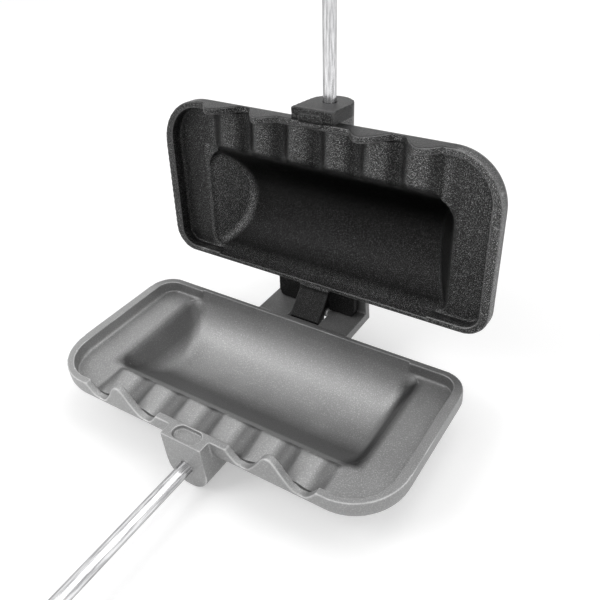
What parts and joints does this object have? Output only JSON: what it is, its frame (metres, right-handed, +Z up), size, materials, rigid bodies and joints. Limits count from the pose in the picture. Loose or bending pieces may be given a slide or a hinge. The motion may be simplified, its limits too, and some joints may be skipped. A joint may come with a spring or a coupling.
{
  "type": "pie iron",
  "caption": "Hinged cast pie iron for campfire cooking: matching long rectangular shells with a wavy crimping rim and a filling hollow, each on a steel rod with a wooden grip.",
  "frame": {"origin": "on the flat foot under the lower shell, below the shell's middle", "axes": "+X along the shells, -Y along the lower rod towards its grip, +Z up from the table"},
  "size_m": [0.234, 0.8201, 0.7358],
  "materials": {
    "cast_shell": "satin cast aluminium, finely grained, with bright worn edges on the rim",
    "dark_shell": "cast aluminium with a black non-stick coat that has a fine sparkle",
    "rod": "bright plated steel rod",
    "ferrule": "bright drawn steel ferrule",
    "grip": "turned and lacquered hardwood",
    "end_nut": "bright plated steel cap nut"
  },
  "bodies": {
    "lower": {"lower_shell": "cast_shell", "lower_rod": "rod", "lower_collar": "ferrule", "lower_grip": "grip", "lower_end_nut": "end_nut"},
    "upper": {"upper_shell": "dark_shell", "upper_rod": "rod", "upper_collar": "ferrule", "upper_grip": "grip", "upper_end_nut": "end_nut"}
  },
  "joints": [
    {"name": "hinge_turn", "type": "hinge", "parent": "lower", "child": "upper", "pos_m": [0, 0.0697, 0.03557], "axis": [1, 0, 0], "range_deg": [0, 96.4]}
  ]
}
